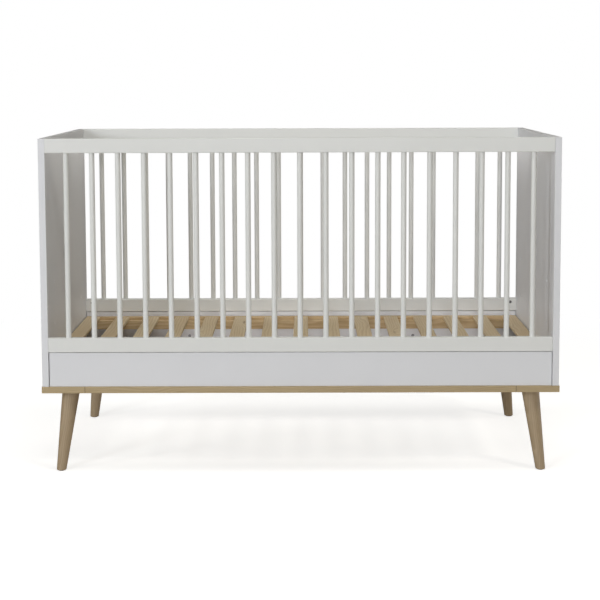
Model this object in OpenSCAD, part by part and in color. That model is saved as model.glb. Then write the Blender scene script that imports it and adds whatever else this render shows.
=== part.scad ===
// Cot bed with two solid end panels, two barred sides, a slatted base on three heights
// and an oak base frame on four splayed legs.
// The origin is on the floor under the middle of the bed. The front faces -Y, and +Z is up.

/* [Case] */
// Length over the end panels
body_l = 1440; // [1380:10:1480]
// Depth over the end panels
body_d = 750; // [700:10:800]
// Height of the whole bed
body_h = 940; // [850:5:1000]
// Thickness of the end panels
panel_t = 18; // [16:1:22]

/* [Legs] */
// Height from the floor to the underside of the base
leg_h = 230; // [150:5:240]
// Diameter of a leg where it meets the base
leg_top_d = 50; // [40:1:60]
// Diameter of a leg at its foot
leg_foot_d = 27; // [24:1:34]
// From the ends and sides of the bed to the middle of a leg's top
leg_inset = 70; // [60:1:90]
// How far a foot stands outside its leg's top, in length and in depth
leg_splay = 28; // [0:1:35]
// Thickness of the felt glide under a foot
glide_t = 2; // [1:0.5:4]
// Diameter of the felt glide
glide_d = 20; // [14:1:22]

/* [Base frame] */
// Thickness of the base boards
base_t = 18; // [18:1:25]
// How far the base stands out past the case
base_over = 2; // [0:0.5:5]
// Width of the base boards
base_strip_w = 120; // [110:5:160]

/* [Barred sides] */
// Thickness of the side rails
rail_t = 22; // [20:1:28]
// Height of the side rails
rail_h = 40; // [36:1:50]
// From the base up to the bottom rail
bottom_rail_lift = 97; // [80:1:110]
// Diameter of the bars
bar_d = 15; // [12:0.5:18]
// Number of bars in a side
bar_count = 19; // [17:2:21]
// From an end panel to the middle of the first bar
bar_end = 56.7; // [40:0.1:65]
// Depth of the hole that holds a bar's end
bar_socket = 15; // [10:1:20]

/* [Aprons] */
// Thickness of the apron boards
apron_t = 16; // [15:1:18]
// How far an apron sits behind the edge of the end panels
apron_set_back = 4; // [1:0.5:6]
// Gap round an apron, at its two ends and above it
apron_gap = 1.5; // [0:0.5:4]

/* [Slatted base] */
// Number of slats
slat_count = 15; // [10:1:18]
// Width of a slat
slat_w = 44.5; // [40:0.5:50]
// Thickness of a slat
slat_t = 9; // [8:0.5:12]
// Thickness of the long rails, ledges and cross rails
frame_t = 20; // [18:1:24]
// Height of the long rails
frame_h = 38; // [34:1:45]
// Height of the ledges
ledge_h = 28; // [24:1:30]
// Play all round between the slatted base and the case
frame_play = 3; // [2:0.5:5]
// From the base frame up to the slatted base at its lowest
frame_lift = 44; // [30:1:50]
// Distance between two height positions
height_step = 120; // [100:10:130]
// Middle of the bed to a support pin
pin_y = 254; // [200:1:270]

/* [Fasteners] */
// Diameter of the connecting bolts
bolt_d = 6; // [5:1:6]
// Diameter of the barrel nuts
nut_d = 10; // [9:0.5:12]
// Diameter of the dowels
dowel_d = 8; // [6:1:8]
// Diameter of the support pins
pin_d = 8; // [6:0.5:10]
// Diameter of the leg bolts
leg_bolt_d = 8; // [6:1:8]

/* [Hidden] */
$fn = 48;
EPS = 0.01;

WHITE_BOARD = "#f3f4f5";
WHITE_PAINT = "#f4f3ee";
OAK = "#c9a878";
LEG_WOOD = "#bd9b71";
PINE = "#dcc08d";
STEEL = "#aeb2b6";
FELT = "#8d8a84";

inner_x = body_l / 2 - panel_t;      // inner face of an end panel
case_y = body_d / 2;                 // outer face of the case
base_z = leg_h + base_t;             // top of the base frame
rail_y = case_y - rail_t / 2;        // middle plane of a barred side
top_rail_z = body_h - rail_h;
bottom_rail_z = base_z + bottom_rail_lift;

bar_pitch = 2 * (inner_x - bar_end) / (bar_count - 1);
bar_slack = 0.15;                    // play of a bar in its hole
bar_end_gap = 1;                     // room past a bar's end
bar_z = bottom_rail_z + rail_h - bar_socket + bar_end_gap;
bar_l = top_rail_z - bottom_rail_z - rail_h + 2 * (bar_socket - bar_end_gap);

apron_y = case_y - apron_set_back - apron_t / 2;
apron_h = bottom_rail_z - base_z - apron_gap;

base_x = body_l / 2 + base_over;
base_y = case_y + base_over;
strip_x = base_x - base_strip_w;     // seam between an end board and the long boards
strip_y = base_y - base_strip_w;

leg_x = body_l / 2 - leg_inset;
leg_y = case_y - leg_inset;
leg_axis_l = norm([leg_splay, leg_splay, leg_h]);
leg_tilt = atan2(norm([leg_splay, leg_splay]), leg_h);
leg_spare = 10;                      // wood past each end of the turned leg, cut away level
leg_taper = (leg_top_d - leg_foot_d) / leg_axis_l;
foot_shift = leg_splay * (1 - glide_t / leg_h);

fit = 0.1;                           // hole over its dowel, pin, nut or screw, on the diameter
bolt_clear = 0.6;                    // hole over its bolt, on the diameter
hole_past = 1;                       // a hole runs this far past its screw or leg bolt
bolt_past = 2;                       // and this far past its connecting bolt
head_d = 15;
head_h = 2;
head_sunk = 0.2;                     // side bolt heads lie this far inside the end panels
hex_key = 4;                         // across the corners of the key socket
hex_deep = 1.4;
side_bolt_l = 45;
nut_in = 20;                         // from a rail's end to its barrel nut
nut_l = 16;
nut_off = 8;                         // from the middle of a rail to its barrel nut
dowel_off = 10;                      // from the middle of a rail to its dowel
dowel_l = 30;
dowel_short = 10;                    // the end of a dowel in the thinner piece
dowel_room = 0.5;
apron_nut_l = 11;
apron_nut_up = 15;
apron_bolt_l = 40;
apron_bolt_end = 72;                 // from an end panel to the last apron bolt
apron_bolt_x = [122, 365, inner_x - apron_bolt_end];
apron_dowel_x = [240, 500];
panel_screw_y = [0, 200];
panel_dowel_y = [120, 330];
screw_d = 5;
screw_l = 60;
screw_head_d = 10;
screw_head_h = 3;
leg_bolt_up = 14;
leg_bolt_down = 40;
insert_d = 12;
insert_l = 15;
insert_in = 0.5;
pin_l = 24;
pin_hole = 12;
pin_room = 1;                        // between a pin's end and the bottom of its hole
pin_gap = 0.4;                       // between a pin and the slatted base that it carries
spare_hole_d = 8;
spare_hole_up = 225;                 // spare fixing hole over the base frame

frame_x = inner_x - frame_play;
frame_y = case_y - rail_t - frame_play;
frame_z = base_z + frame_lift;
frame_top = frame_z + frame_h;
slat_z = frame_top - slat_t;
ledge_y = frame_y - frame_t;         // outer face of a ledge, and the end of the slats
slat_first = frame_x - slat_w / 2;
slat_pitch = 2 * slat_first / (slat_count - 1);
pin_z = frame_z - pin_gap - pin_d / 2;
slat_screw_d = 3.5;
slat_screw_l = 28;
slat_screw_head = 7;
slat_screw_cone = (slat_screw_head - slat_screw_d) / 2;
slat_screw_sunk = 0.3;
corner_screw_d = 4;
corner_screw_l = 60;
corner_head_d = 8;
corner_head_h = 2;
corner_screw_dz = 8;

bolt_seat_x = body_l / 2 - head_sunk - head_h;   // under the head of a side bolt

// The joints of the rails and panels: the middle of a rail, and 1 where its bolt lies over
// the middle and its dowel under, or -1 where they change places
low_joint = [bottom_rail_z + rail_h / 2, 1];
high_joint = [top_rail_z + rail_h / 2, -1];
rail_joints = [low_joint, high_joint];

function bolt_z(joint) = joint[0] + joint[1] * nut_off;

function dowel_z(joint) = joint[0] - joint[1] * dowel_off;

function slat_name(i) = str("slat_", i < 10 ? "0" : "", i);

// A box from its lowest to its highest corner
module block(low, high) {
    translate(low) cube(high - low);
}

// A round bar or hole that starts at a point and runs a length along +X, +Y or +Z
module rod_x(at, d, l) {
    translate(at) rotate([0, 90, 0]) cylinder(d = d, h = l);
}

module rod_y(at, d, l) {
    translate(at) rotate([-90, 0, 0]) cylinder(d = d, h = l);
}

module rod_z(at, d, l) {
    translate(at) cylinder(d = d, h = l);
}

// Repeats its children at the left and right end, or at the front and back
module both_ends() {
    children();
    mirror([1, 0, 0]) children();
}

module both_sides() {
    children();
    mirror([0, 1, 0]) children();
}

module four_corners() {
    both_ends() both_sides() children();
}

// ---- End panels

module panel_holes() {
    both_sides() {
        for (joint = rail_joints) {
            rod_x([inner_x - EPS, rail_y, bolt_z(joint)], bolt_d + bolt_clear, panel_t + 2 * EPS);
            rod_x([bolt_seat_x, rail_y, bolt_z(joint)], head_d + bolt_clear,
                  head_h + head_sunk + EPS);
            rod_x([inner_x - EPS, rail_y, dowel_z(joint)], dowel_d + fit, dowel_short + dowel_room);
        }
        for (i = [0:2]) {
            rod_x([inner_x - EPS, pin_y, pin_z + i * height_step], pin_d + fit, pin_hole);
        }
        rod_x([inner_x - EPS, rail_y, base_z + spare_hole_up], spare_hole_d, pin_hole);
        for (y = panel_dowel_y) {
            rod_z([inner_x + panel_t / 2, y, base_z - EPS], dowel_d + fit,
                  dowel_l - dowel_short + dowel_room);
        }
        for (y = panel_screw_y) {
            rod_z([inner_x + panel_t / 2, y, base_z - EPS], screw_d + fit,
                  screw_l - base_t + hole_past);
        }
    }
}

module end_panel() {
    color(WHITE_BOARD) difference() {
        block([inner_x, -case_y, base_z], [inner_x + panel_t, case_y, body_h]);
        panel_holes();
    }
}

module right_end_panel() {
    end_panel();
}

module left_end_panel() {
    mirror([1, 0, 0]) end_panel();
}

// ---- Barred sides, drawn at the back and mirrored to the front

module rail_end_holes(joint) {
    both_ends() {
        rod_x([bolt_seat_x - side_bolt_l - bolt_past, rail_y, bolt_z(joint)],
              bolt_d + bolt_clear, inner_x - bolt_seat_x + side_bolt_l + bolt_past + EPS);
        rod_x([inner_x - dowel_l + dowel_short - dowel_room, rail_y, dowel_z(joint)],
              dowel_d + fit, dowel_l);
    }
}

// The holes of a bottom rail's barrel nuts, open to the inside of the bed
module inner_nut_holes() {
    both_ends()
        rod_y([inner_x - nut_in, case_y - rail_t - EPS, bolt_z(low_joint)],
              nut_d + fit, rail_t / 2 + nut_l / 2 + dowel_room);
}

// The holes of a top rail's barrel nuts, open to below
module under_nut_holes() {
    both_ends()
        rod_z([inner_x - nut_in, rail_y, top_rail_z - EPS],
              nut_d + fit, bolt_z(high_joint) - top_rail_z + nut_l / 2 + dowel_room);
}

module bar_holes(z) {
    for (i = [0:bar_count - 1]) {
        rod_z([(i - (bar_count - 1) / 2) * bar_pitch, rail_y, z],
              bar_d + 2 * bar_slack, bar_socket + EPS);
    }
}

module rail(joint) {
    color(WHITE_PAINT) difference() {
        block([-inner_x, case_y - rail_t, joint[0] - rail_h / 2],
              [inner_x, case_y, joint[0] + rail_h / 2]);
        rail_end_holes(joint);
        children();
    }
}

module back_top_rail() {
    rail(high_joint) {
        under_nut_holes();
        bar_holes(top_rail_z - EPS);
    }
}

module back_bottom_rail() {
    rail(low_joint) {
        inner_nut_holes();
        bar_holes(bottom_rail_z + rail_h - bar_socket);
    }
}

module front_top_rail() {
    mirror([0, 1, 0]) back_top_rail();
}

module front_bottom_rail() {
    mirror([0, 1, 0]) back_bottom_rail();
}

module back_bars() {
    color(WHITE_PAINT)
        for (i = [0:bar_count - 1]) {
            rod_z([(i - (bar_count - 1) / 2) * bar_pitch, rail_y, bar_z], bar_d, bar_l);
        }
}

module front_bars() {
    mirror([0, 1, 0]) back_bars();
}

// ---- Aprons

module back_apron() {
    apron_x = inner_x - apron_gap;
    color(WHITE_BOARD) difference() {
        block([-apron_x, apron_y - apron_t / 2, base_z],
              [apron_x, apron_y + apron_t / 2, base_z + apron_h]);
        both_ends() {
            for (x = apron_bolt_x) {
                rod_z([x, apron_y, base_z - EPS], bolt_d + bolt_clear,
                      apron_bolt_l - base_t + bolt_past);
                rod_y([x, apron_y - apron_t / 2 - EPS, base_z + apron_nut_up],
                      nut_d + fit, apron_t / 2 + apron_nut_l / 2 + dowel_room);
            }
            for (x = apron_dowel_x) {
                rod_z([x, apron_y, base_z - EPS], dowel_d + fit,
                      dowel_l - dowel_short + dowel_room);
            }
        }
    }
}

module front_apron() {
    mirror([0, 1, 0]) back_apron();
}

// ---- Base frame

module base_holes() {
    four_corners() {
        for (x = apron_bolt_x) {
            rod_z([x, apron_y, leg_h - EPS], bolt_d + bolt_clear, base_t + 2 * EPS);
        }
        for (x = apron_dowel_x) {
            rod_z([x, apron_y, base_z - dowel_short - dowel_room], dowel_d + fit, base_t);
        }
        for (y = panel_dowel_y) {
            rod_z([inner_x + panel_t / 2, y, base_z - dowel_short - dowel_room],
                  dowel_d + fit, base_t);
        }
        for (y = panel_screw_y) {
            rod_z([inner_x + panel_t / 2, y, leg_h - EPS], screw_d + fit, base_t + 2 * EPS);
            rod_z([inner_x + panel_t / 2, y, leg_h - EPS], screw_head_d + fit,
                  screw_head_h + EPS);
        }
        rod_z([leg_x, leg_y, leg_h - EPS], insert_d + fit, insert_l + 2 * insert_in);
        for (side = [-1, 1]) {
            rod_x([strip_x - dowel_l / 2 - dowel_room,
                   base_y - base_strip_w / 2 + side * base_strip_w / 4, leg_h + base_t / 2],
                  dowel_d + fit, dowel_l + 2 * dowel_room);
        }
    }
}

module base_right_board() {
    color(OAK) difference() {
        block([strip_x, -base_y, leg_h], [base_x, base_y, base_z]);
        base_holes();
    }
}

module base_left_board() {
    mirror([1, 0, 0]) base_right_board();
}

module base_back_board() {
    color(OAK) difference() {
        block([-strip_x, strip_y, leg_h], [strip_x, base_y, base_z]);
        base_holes();
    }
}

module base_front_board() {
    mirror([0, 1, 0]) base_back_board();
}

// ---- Legs, drawn at the back right corner

module leg() {
    color(LEG_WOOD) difference() {
        intersection() {
            translate([leg_x, leg_y, leg_h])
                rotate([0, 0, 45])
                    rotate([0, -leg_tilt, 0])
                        translate([0, 0, -leg_axis_l - leg_spare])
                            cylinder(d1 = leg_foot_d - leg_taper * leg_spare,
                                     d2 = leg_top_d + leg_taper * leg_spare,
                                     h = leg_axis_l + 2 * leg_spare);
            block([leg_x - leg_top_d, leg_y - leg_top_d, glide_t],
                  [leg_x + leg_splay + leg_top_d, leg_y + leg_splay + leg_top_d, leg_h]);
        }
        rod_z([leg_x, leg_y, leg_h - leg_bolt_down - hole_past], leg_bolt_d + fit,
              leg_bolt_down + 2 * hole_past);
    }
}

module back_right_leg() {
    leg();
}

module back_left_leg() {
    mirror([1, 0, 0]) leg();
}

module front_right_leg() {
    mirror([0, 1, 0]) leg();
}

module front_left_leg() {
    mirror([1, 0, 0]) mirror([0, 1, 0]) leg();
}

module foot_glides() {
    color(FELT) four_corners() rod_z([leg_x + foot_shift, leg_y + foot_shift, 0], glide_d, glide_t);
}

module leg_bolts() {
    color(STEEL) four_corners()
        rod_z([leg_x, leg_y, leg_h - leg_bolt_down], leg_bolt_d, leg_bolt_down + leg_bolt_up);
}

module leg_inserts() {
    color(STEEL) four_corners()
        difference() {
            rod_z([leg_x, leg_y, leg_h + insert_in], insert_d, insert_l);
            rod_z([leg_x, leg_y, leg_h], leg_bolt_d + fit, insert_l + 2 * hole_past);
        }
}

// ---- Fasteners of the case

// A bolt along +Z, with its flat head below z = 0
module bolt(l) {
    difference() {
        union() {
            cylinder(d = bolt_d, h = l);
            translate([0, 0, -head_h]) cylinder(d = head_d, h = head_h);
        }
        translate([0, 0, -head_h - EPS]) cylinder(d = hex_key, h = hex_deep, $fn = 6);
    }
}

module side_bolts() {
    color(STEEL) four_corners()
        for (joint = rail_joints) {
            translate([bolt_seat_x, rail_y, bolt_z(joint)]) rotate([0, -90, 0]) bolt(side_bolt_l);
        }
}

// The cross hole of a side barrel nut
module side_nut_hole(joint) {
    rod_x([inner_x - nut_in - nut_d, rail_y, bolt_z(joint)], bolt_d + fit, 2 * nut_d);
}

module side_barrel_nuts() {
    color(STEEL) four_corners() {
        difference() {
            rod_y([inner_x - nut_in, rail_y - nut_l / 2, bolt_z(low_joint)], nut_d, nut_l);
            side_nut_hole(low_joint);
        }
        difference() {
            rod_z([inner_x - nut_in, rail_y, bolt_z(high_joint) - nut_l / 2], nut_d, nut_l);
            side_nut_hole(high_joint);
        }
    }
}

module side_dowels() {
    color(PINE) four_corners()
        for (joint = rail_joints) {
            rod_x([inner_x - dowel_l + dowel_short, rail_y, dowel_z(joint)], dowel_d, dowel_l);
        }
}

module apron_bolts() {
    color(STEEL) four_corners()
        for (x = apron_bolt_x) {
            translate([x, apron_y, leg_h]) bolt(apron_bolt_l);
        }
}

module apron_barrel_nuts() {
    color(STEEL) four_corners()
        for (x = apron_bolt_x) {
            difference() {
                rod_y([x, apron_y - apron_nut_l / 2, base_z + apron_nut_up], nut_d, apron_nut_l);
                rod_z([x, apron_y, base_z + apron_nut_up - nut_d], bolt_d + fit, 2 * nut_d);
            }
        }
}

module case_dowels() {
    color(PINE) four_corners() {
        for (x = apron_dowel_x) {
            rod_z([x, apron_y, base_z - dowel_short], dowel_d, dowel_l);
        }
        for (y = panel_dowel_y) {
            rod_z([inner_x + panel_t / 2, y, base_z - dowel_short], dowel_d, dowel_l);
        }
    }
}

module panel_screw(y) {
    translate([inner_x + panel_t / 2, y, leg_h]) {
        cylinder(d = screw_d, h = screw_l);
        cylinder(d = screw_head_d, h = screw_head_h);
    }
}

module panel_screws() {
    color(STEEL) both_ends() {
        panel_screw(panel_screw_y[0]);
        both_sides() panel_screw(panel_screw_y[1]);
    }
}

module base_dowels() {
    color(PINE) four_corners()
        for (side = [-1, 1]) {
            rod_x([strip_x - dowel_l / 2,
                   base_y - base_strip_w / 2 + side * base_strip_w / 4, leg_h + base_t / 2],
                  dowel_d, dowel_l);
        }
}

module support_pins() {
    color(STEEL) four_corners()
        rod_x([inner_x + pin_hole - pin_l, pin_y, pin_z], pin_d, pin_l - pin_room);
}

// ---- Slatted base

function slat_x(i) = (i - 1) * slat_pitch - slat_first;

// The two screws of a slat, or with grow above 0 the holes for them
module slat_screw_pair(i, grow) {
    both_sides() translate([slat_x(i), ledge_y - frame_t / 2, frame_top - slat_screw_sunk]) {
        translate([0, 0, -slat_screw_l]) cylinder(d = slat_screw_d + grow, h = slat_screw_l);
        translate([0, 0, -slat_screw_cone])
            cylinder(d1 = slat_screw_d + grow, d2 = slat_screw_head + grow, h = slat_screw_cone);
        if (grow > 0) {
            cylinder(d = slat_screw_head + grow, h = slat_screw_sunk + EPS);
        }
    }
}

// The two screws of a frame corner, or with grow above 0 the holes for them
module corner_screw_pair(grow) {
    past = grow > 0 ? hole_past : 0;
    over = grow > 0 ? EPS : 0;
    for (side = [-1, 1]) {
        at = [frame_x - frame_t / 2, frame_y, frame_z + ledge_h / 2 + side * corner_screw_dz];
        rod_y(at - [0, corner_screw_l + past, 0], corner_screw_d + grow, corner_screw_l + past);
        rod_y(at - [0, corner_head_h, 0], corner_head_d + grow, corner_head_h + over);
    }
}

module slat_frame_back_rail() {
    color(PINE) difference() {
        block([-frame_x, ledge_y, frame_z], [frame_x, frame_y, frame_top]);
        both_ends() corner_screw_pair(fit);
    }
}

module slat_frame_front_rail() {
    mirror([0, 1, 0]) slat_frame_back_rail();
}

module slat_frame_back_ledge() {
    color(PINE) difference() {
        block([-frame_x, ledge_y - frame_t, slat_z - ledge_h], [frame_x, ledge_y, slat_z]);
        both_ends() corner_screw_pair(fit);
        for (i = [1:slat_count]) {
            slat_screw_pair(i, fit);
        }
    }
}

module slat_frame_front_ledge() {
    mirror([0, 1, 0]) slat_frame_back_ledge();
}

module slat_frame_right_cross_rail() {
    color(PINE) difference() {
        block([frame_x - frame_t, frame_t - ledge_y, frame_z], [frame_x, ledge_y - frame_t, slat_z]);
        both_sides() corner_screw_pair(fit);
    }
}

module slat_frame_left_cross_rail() {
    mirror([1, 0, 0]) slat_frame_right_cross_rail();
}

module slat(i) {
    color(PINE) difference() {
        block([slat_x(i) - slat_w / 2, -ledge_y, slat_z],
              [slat_x(i) + slat_w / 2, ledge_y, frame_top]);
        slat_screw_pair(i, fit);
    }
}

module slat_screws() {
    color(STEEL)
        for (i = [1:slat_count]) {
            slat_screw_pair(i, 0);
        }
}

module corner_screws() {
    color(STEEL) four_corners() corner_screw_pair(0);
}

left_end_panel();
right_end_panel();
front_top_rail();
front_bottom_rail();
back_top_rail();
back_bottom_rail();
front_bars();
back_bars();
front_apron();
back_apron();
base_left_board();
base_right_board();
base_front_board();
base_back_board();
front_left_leg();
front_right_leg();
back_left_leg();
back_right_leg();
foot_glides();
leg_bolts();
leg_inserts();
side_bolts();
side_barrel_nuts();
side_dowels();
apron_bolts();
apron_barrel_nuts();
case_dowels();
panel_screws();
base_dowels();
support_pins();
slat_frame_front_rail();
slat_frame_back_rail();
slat_frame_front_ledge();
slat_frame_back_ledge();
slat_frame_left_cross_rail();
slat_frame_right_cross_rail();
slat_screws();
corner_screws();
for (i = [1:slat_count]) {
    slat(i);
}
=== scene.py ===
import math

import bmesh
import bpy
import numpy as np
from mathutils import Matrix, Vector


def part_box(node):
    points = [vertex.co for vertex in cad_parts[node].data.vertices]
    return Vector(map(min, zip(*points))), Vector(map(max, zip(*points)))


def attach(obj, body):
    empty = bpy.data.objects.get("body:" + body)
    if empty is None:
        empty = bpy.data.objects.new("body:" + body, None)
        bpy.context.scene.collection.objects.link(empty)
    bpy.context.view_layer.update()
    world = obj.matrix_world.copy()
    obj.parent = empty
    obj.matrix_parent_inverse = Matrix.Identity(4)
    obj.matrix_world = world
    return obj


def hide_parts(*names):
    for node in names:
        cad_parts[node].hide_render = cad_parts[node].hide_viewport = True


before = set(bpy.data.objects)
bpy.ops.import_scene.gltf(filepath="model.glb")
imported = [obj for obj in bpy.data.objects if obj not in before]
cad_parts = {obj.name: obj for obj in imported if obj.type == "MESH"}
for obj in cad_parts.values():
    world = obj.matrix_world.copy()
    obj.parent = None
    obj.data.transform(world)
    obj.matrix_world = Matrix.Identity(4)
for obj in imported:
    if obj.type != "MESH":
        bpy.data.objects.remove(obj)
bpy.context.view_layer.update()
print("frame loaded:", len(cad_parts), "nodes")

caseBody = "case"
slatBody = "slat_base"
mm = 0.001


# ---- helpers for node trees

# an input's value is a number, a colour or a vector, or else the output that it is linked to
def feed(tree, node, inputs):
    for name, value in inputs.items():
        if isinstance(value, bpy.types.NodeSocket):
            tree.links.new(value, node.inputs[name])
        else:
            node.inputs[name].default_value = value
    return node


def addNode(tree, kind, inputs=None, **settings):
    made = tree.nodes.new(kind)
    for name, value in settings.items():
        setattr(made, name, value)
    return feed(tree, made, inputs or {})


def newTree(name, kind, inputs, outputs):
    tree = bpy.data.node_groups.new(name, kind)
    for socketName, socketKind, value in inputs:
        socket = tree.interface.new_socket(socketName, in_out="INPUT", socket_type="NodeSocket" + socketKind)
        if value is not None:
            socket.default_value = value
    for socketName, socketKind in outputs:
        tree.interface.new_socket(socketName, in_out="OUTPUT", socket_type="NodeSocket" + socketKind)
    return tree, tree.nodes.new("NodeGroupInput").outputs, tree.nodes.new("NodeGroupOutput")


def calc(tree, operation, first, second=0.0, clamp=False):
    return addNode(tree, "ShaderNodeMath", {0: first, 1: second}, operation=operation,
                   use_clamp=clamp).outputs[0]


def times(tree, first, second):
    return calc(tree, "MULTIPLY", first, second)


def plus(tree, first, second, clamp=False):
    return calc(tree, "ADD", first, second, clamp)


def vectorCalc(tree, operation, first, second=(0, 0, 0)):
    return addNode(tree, "ShaderNodeVectorMath", {0: first, 1: second}, operation=operation).outputs[0]


def spread(tree, value, fromLow, fromHigh, toLow=0.0, toHigh=1.0, smooth=True):
    return addNode(tree, "ShaderNodeMapRange",
                   {"Value": value, "From Min": fromLow, "From Max": fromHigh,
                    "To Min": toLow, "To Max": toHigh},
                   interpolation_type="SMOOTHSTEP" if smooth else "LINEAR").outputs[0]


def splitXyz(tree, vector):
    return addNode(tree, "ShaderNodeSeparateXYZ", {0: vector}).outputs


def blendColour(tree, factor, first, second, mode="MIX"):
    return addNode(tree, "ShaderNodeMix", {0: factor, 6: first, 7: second},
                   data_type="RGBA", blend_type=mode).outputs[2]


# noise at one scale, or at a scale of its own along each axis
def noise(tree, vector, scale, detail=2.0, roughness=0.5, distortion=0.0):
    if isinstance(scale, tuple):
        vector = vectorCalc(tree, "MULTIPLY", vector, scale)
        scale = 1.0
    return addNode(tree, "ShaderNodeTexNoise",
                   {"Vector": vector, "Scale": scale, "Detail": detail,
                    "Roughness": roughness, "Distortion": distortion}).outputs[0]


def colour(red, green, blue):
    return (red, green, blue, 1.0)


# ---- shared shader groups; a grain coordinate is in metres with x along the grain

# noise scales are along and across the grain; a pair is where a soft step starts and ends
woodSetting = {
    "knotCells": (3.1, 17.0, 17.0), "knotsAmongCells": (0.62, 0.66), "knotBend": (0.42, 0.05),
    "knotCore": (0.15, 0.07), "bendDepth": 0.02, "knotTint": colour(.42, .30, .22),
    "drift": (2.2, 9.0, 9.0), "driftDepth": 0.055, "ringSlant": 0.6, "ringRise": (0.0, 0.78),
    "ringFall": (1.0, 0.86), "broad": (1.6, 12.0, 12.0), "fibre": (26.0, 620.0, 620.0),
    "pore": (75.0, 1500.0, 1500.0), "poreEdge": (0.63, 0.72), "middling": (0.3, 0.7),
    "ringShare": 0.42, "broadShare": 0.34, "fibreShare": 0.24, "poreShare": 0.35,
    "fibreHeight": 0.6, "ringHeight": 0.25,
}


def makeWoodGroup():
    tree, source, target = newTree(
        "woodGrain", "ShaderNodeTree",
        [("Coordinate", "Vector", None), ("Pale", "Color", None), ("Dark", "Color", None),
         ("Ring Width", "Float", 0.006), ("Pores", "Float", 0.5), ("Knots", "Float", 0.0)],
        [("Color", "Color"), ("Height", "Float"), ("Streaks", "Float")])
    wood = woodSetting
    at = source["Coordinate"]
    # knots are rare stretched cells, and the rings bend round them
    cells = addNode(tree, "ShaderNodeTexVoronoi",
                    {"Vector": vectorCalc(tree, "MULTIPLY", at, wood["knotCells"]), "Scale": 1.0,
                     "Randomness": 1.0}).outputs
    chance = addNode(tree, "ShaderNodeSeparateColor", {0: cells["Color"]}).outputs[0]
    knots = times(tree, spread(tree, chance, *wood["knotsAmongCells"]), source["Knots"])
    knot = times(tree, spread(tree, cells["Distance"], *wood["knotCore"]), knots)
    bend = times(tree, spread(tree, cells["Distance"], *wood["knotBend"]), knots)
    across = splitXyz(tree, at)
    radial = plus(tree, across[1], times(tree, across[2], wood["ringSlant"]))
    radial = plus(tree, radial, times(tree, noise(tree, at, wood["drift"], 3.0), wood["driftDepth"]))
    radial = plus(tree, radial, times(tree, bend, wood["bendDepth"]))
    phase = calc(tree, "FRACT", calc(tree, "DIVIDE", radial, source["Ring Width"]))
    rings = times(tree, spread(tree, phase, *wood["ringRise"]), spread(tree, phase, *wood["ringFall"]))
    broad = spread(tree, noise(tree, at, wood["broad"]), *wood["middling"])
    fibre = noise(tree, at, wood["fibre"], 3.0, 0.6)
    pore = times(tree, spread(tree, noise(tree, at, wood["pore"], 1.0), *wood["poreEdge"]), source["Pores"])
    streaks = times(tree, rings, wood["ringShare"])
    streaks = plus(tree, streaks, times(tree, broad, wood["broadShare"]))
    streaks = plus(tree, streaks, times(tree, spread(tree, fibre, *wood["middling"]), wood["fibreShare"]))
    streaks = plus(tree, streaks, times(tree, pore, wood["poreShare"]), clamp=True)
    shade = blendColour(tree, streaks, source["Pale"], source["Dark"])
    knotShade = blendColour(tree, 1.0, source["Dark"], wood["knotTint"], "MULTIPLY")
    height = calc(tree, "SUBTRACT", times(tree, fibre, wood["fibreHeight"]), pore)
    height = calc(tree, "SUBTRACT", height, times(tree, rings, wood["ringHeight"]))
    feed(tree, target, {"Color": blendColour(tree, knot, shade, knotShade), "Height": height,
                        "Streaks": streaks})
    return tree


coatSetting = {"brushed": (14.0, 420.0, 420.0), "cloud": 5.5, "cloudEdge": (0.28, 0.72)}


def makeCoatGroup():
    tree, source, target = newTree(
        "coatTexture", "ShaderNodeTree",
        [("Coordinate", "Vector", None), ("Peel Size", "Float", 900.0), ("Grain Through", "Float", 0.0)],
        [("Height", "Float"), ("Tone", "Float")])
    at = source["Coordinate"]
    peel = noise(tree, at, source["Peel Size"], 2.0, 0.45)
    brushed = times(tree, noise(tree, at, coatSetting["brushed"], 3.0, 0.6), source["Grain Through"])
    cloud = noise(tree, at, coatSetting["cloud"], 4.0, 0.55)
    feed(tree, target, {"Height": plus(tree, peel, brushed),
                        "Tone": spread(tree, cloud, *coatSetting["cloudEdge"])})
    return tree


rimSetting = {"ragged": 160.0, "patches": 11.0, "patchEdge": (0.42, 0.68),
              "bandThickness": 1.0 * mm, "seamEdge": (0.25 * mm, 0.1 * mm)}


# wear and the edge band's seam, by the distance to the nearest edge of a board
def makeRimGroup():
    tree, source, target = newTree(
        "edgeRim", "ShaderNodeTree",
        [("From Low", "Vector", None), ("From High", "Vector", None), ("Coordinate", "Vector", None),
         ("Width", "Float", 0.001)],
        [("Wear", "Float"), ("Seam", "Float")])
    at = source["Coordinate"]
    side = splitXyz(tree, vectorCalc(tree, "MINIMUM", source["From Low"], source["From High"]))
    lower = calc(tree, "MINIMUM", side[0], side[1])
    upper = calc(tree, "MAXIMUM", side[0], side[1])
    distance = calc(tree, "MAXIMUM", lower, calc(tree, "MINIMUM", upper, side[2]))
    ragged = noise(tree, at, rimSetting["ragged"], 4.0, 0.65)
    reach = times(tree, source["Width"], times(tree, ragged, 2.0))
    wear = calc(tree, "SUBTRACT", 1.0, calc(tree, "DIVIDE", distance, reach), clamp=True)
    patches = spread(tree, noise(tree, at, rimSetting["patches"], 3.0), *rimSetting["patchEdge"])
    offset = calc(tree, "ABSOLUTE", calc(tree, "SUBTRACT", distance, rimSetting["bandThickness"]))
    feed(tree, target, {"Wear": times(tree, wear, patches),
                        "Seam": spread(tree, offset, *rimSetting["seamEdge"])})
    return tree


dustSetting = {"patches": 14.0, "patchEdge": (0.3, 0.75), "level": (0.6, 0.95)}


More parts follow.
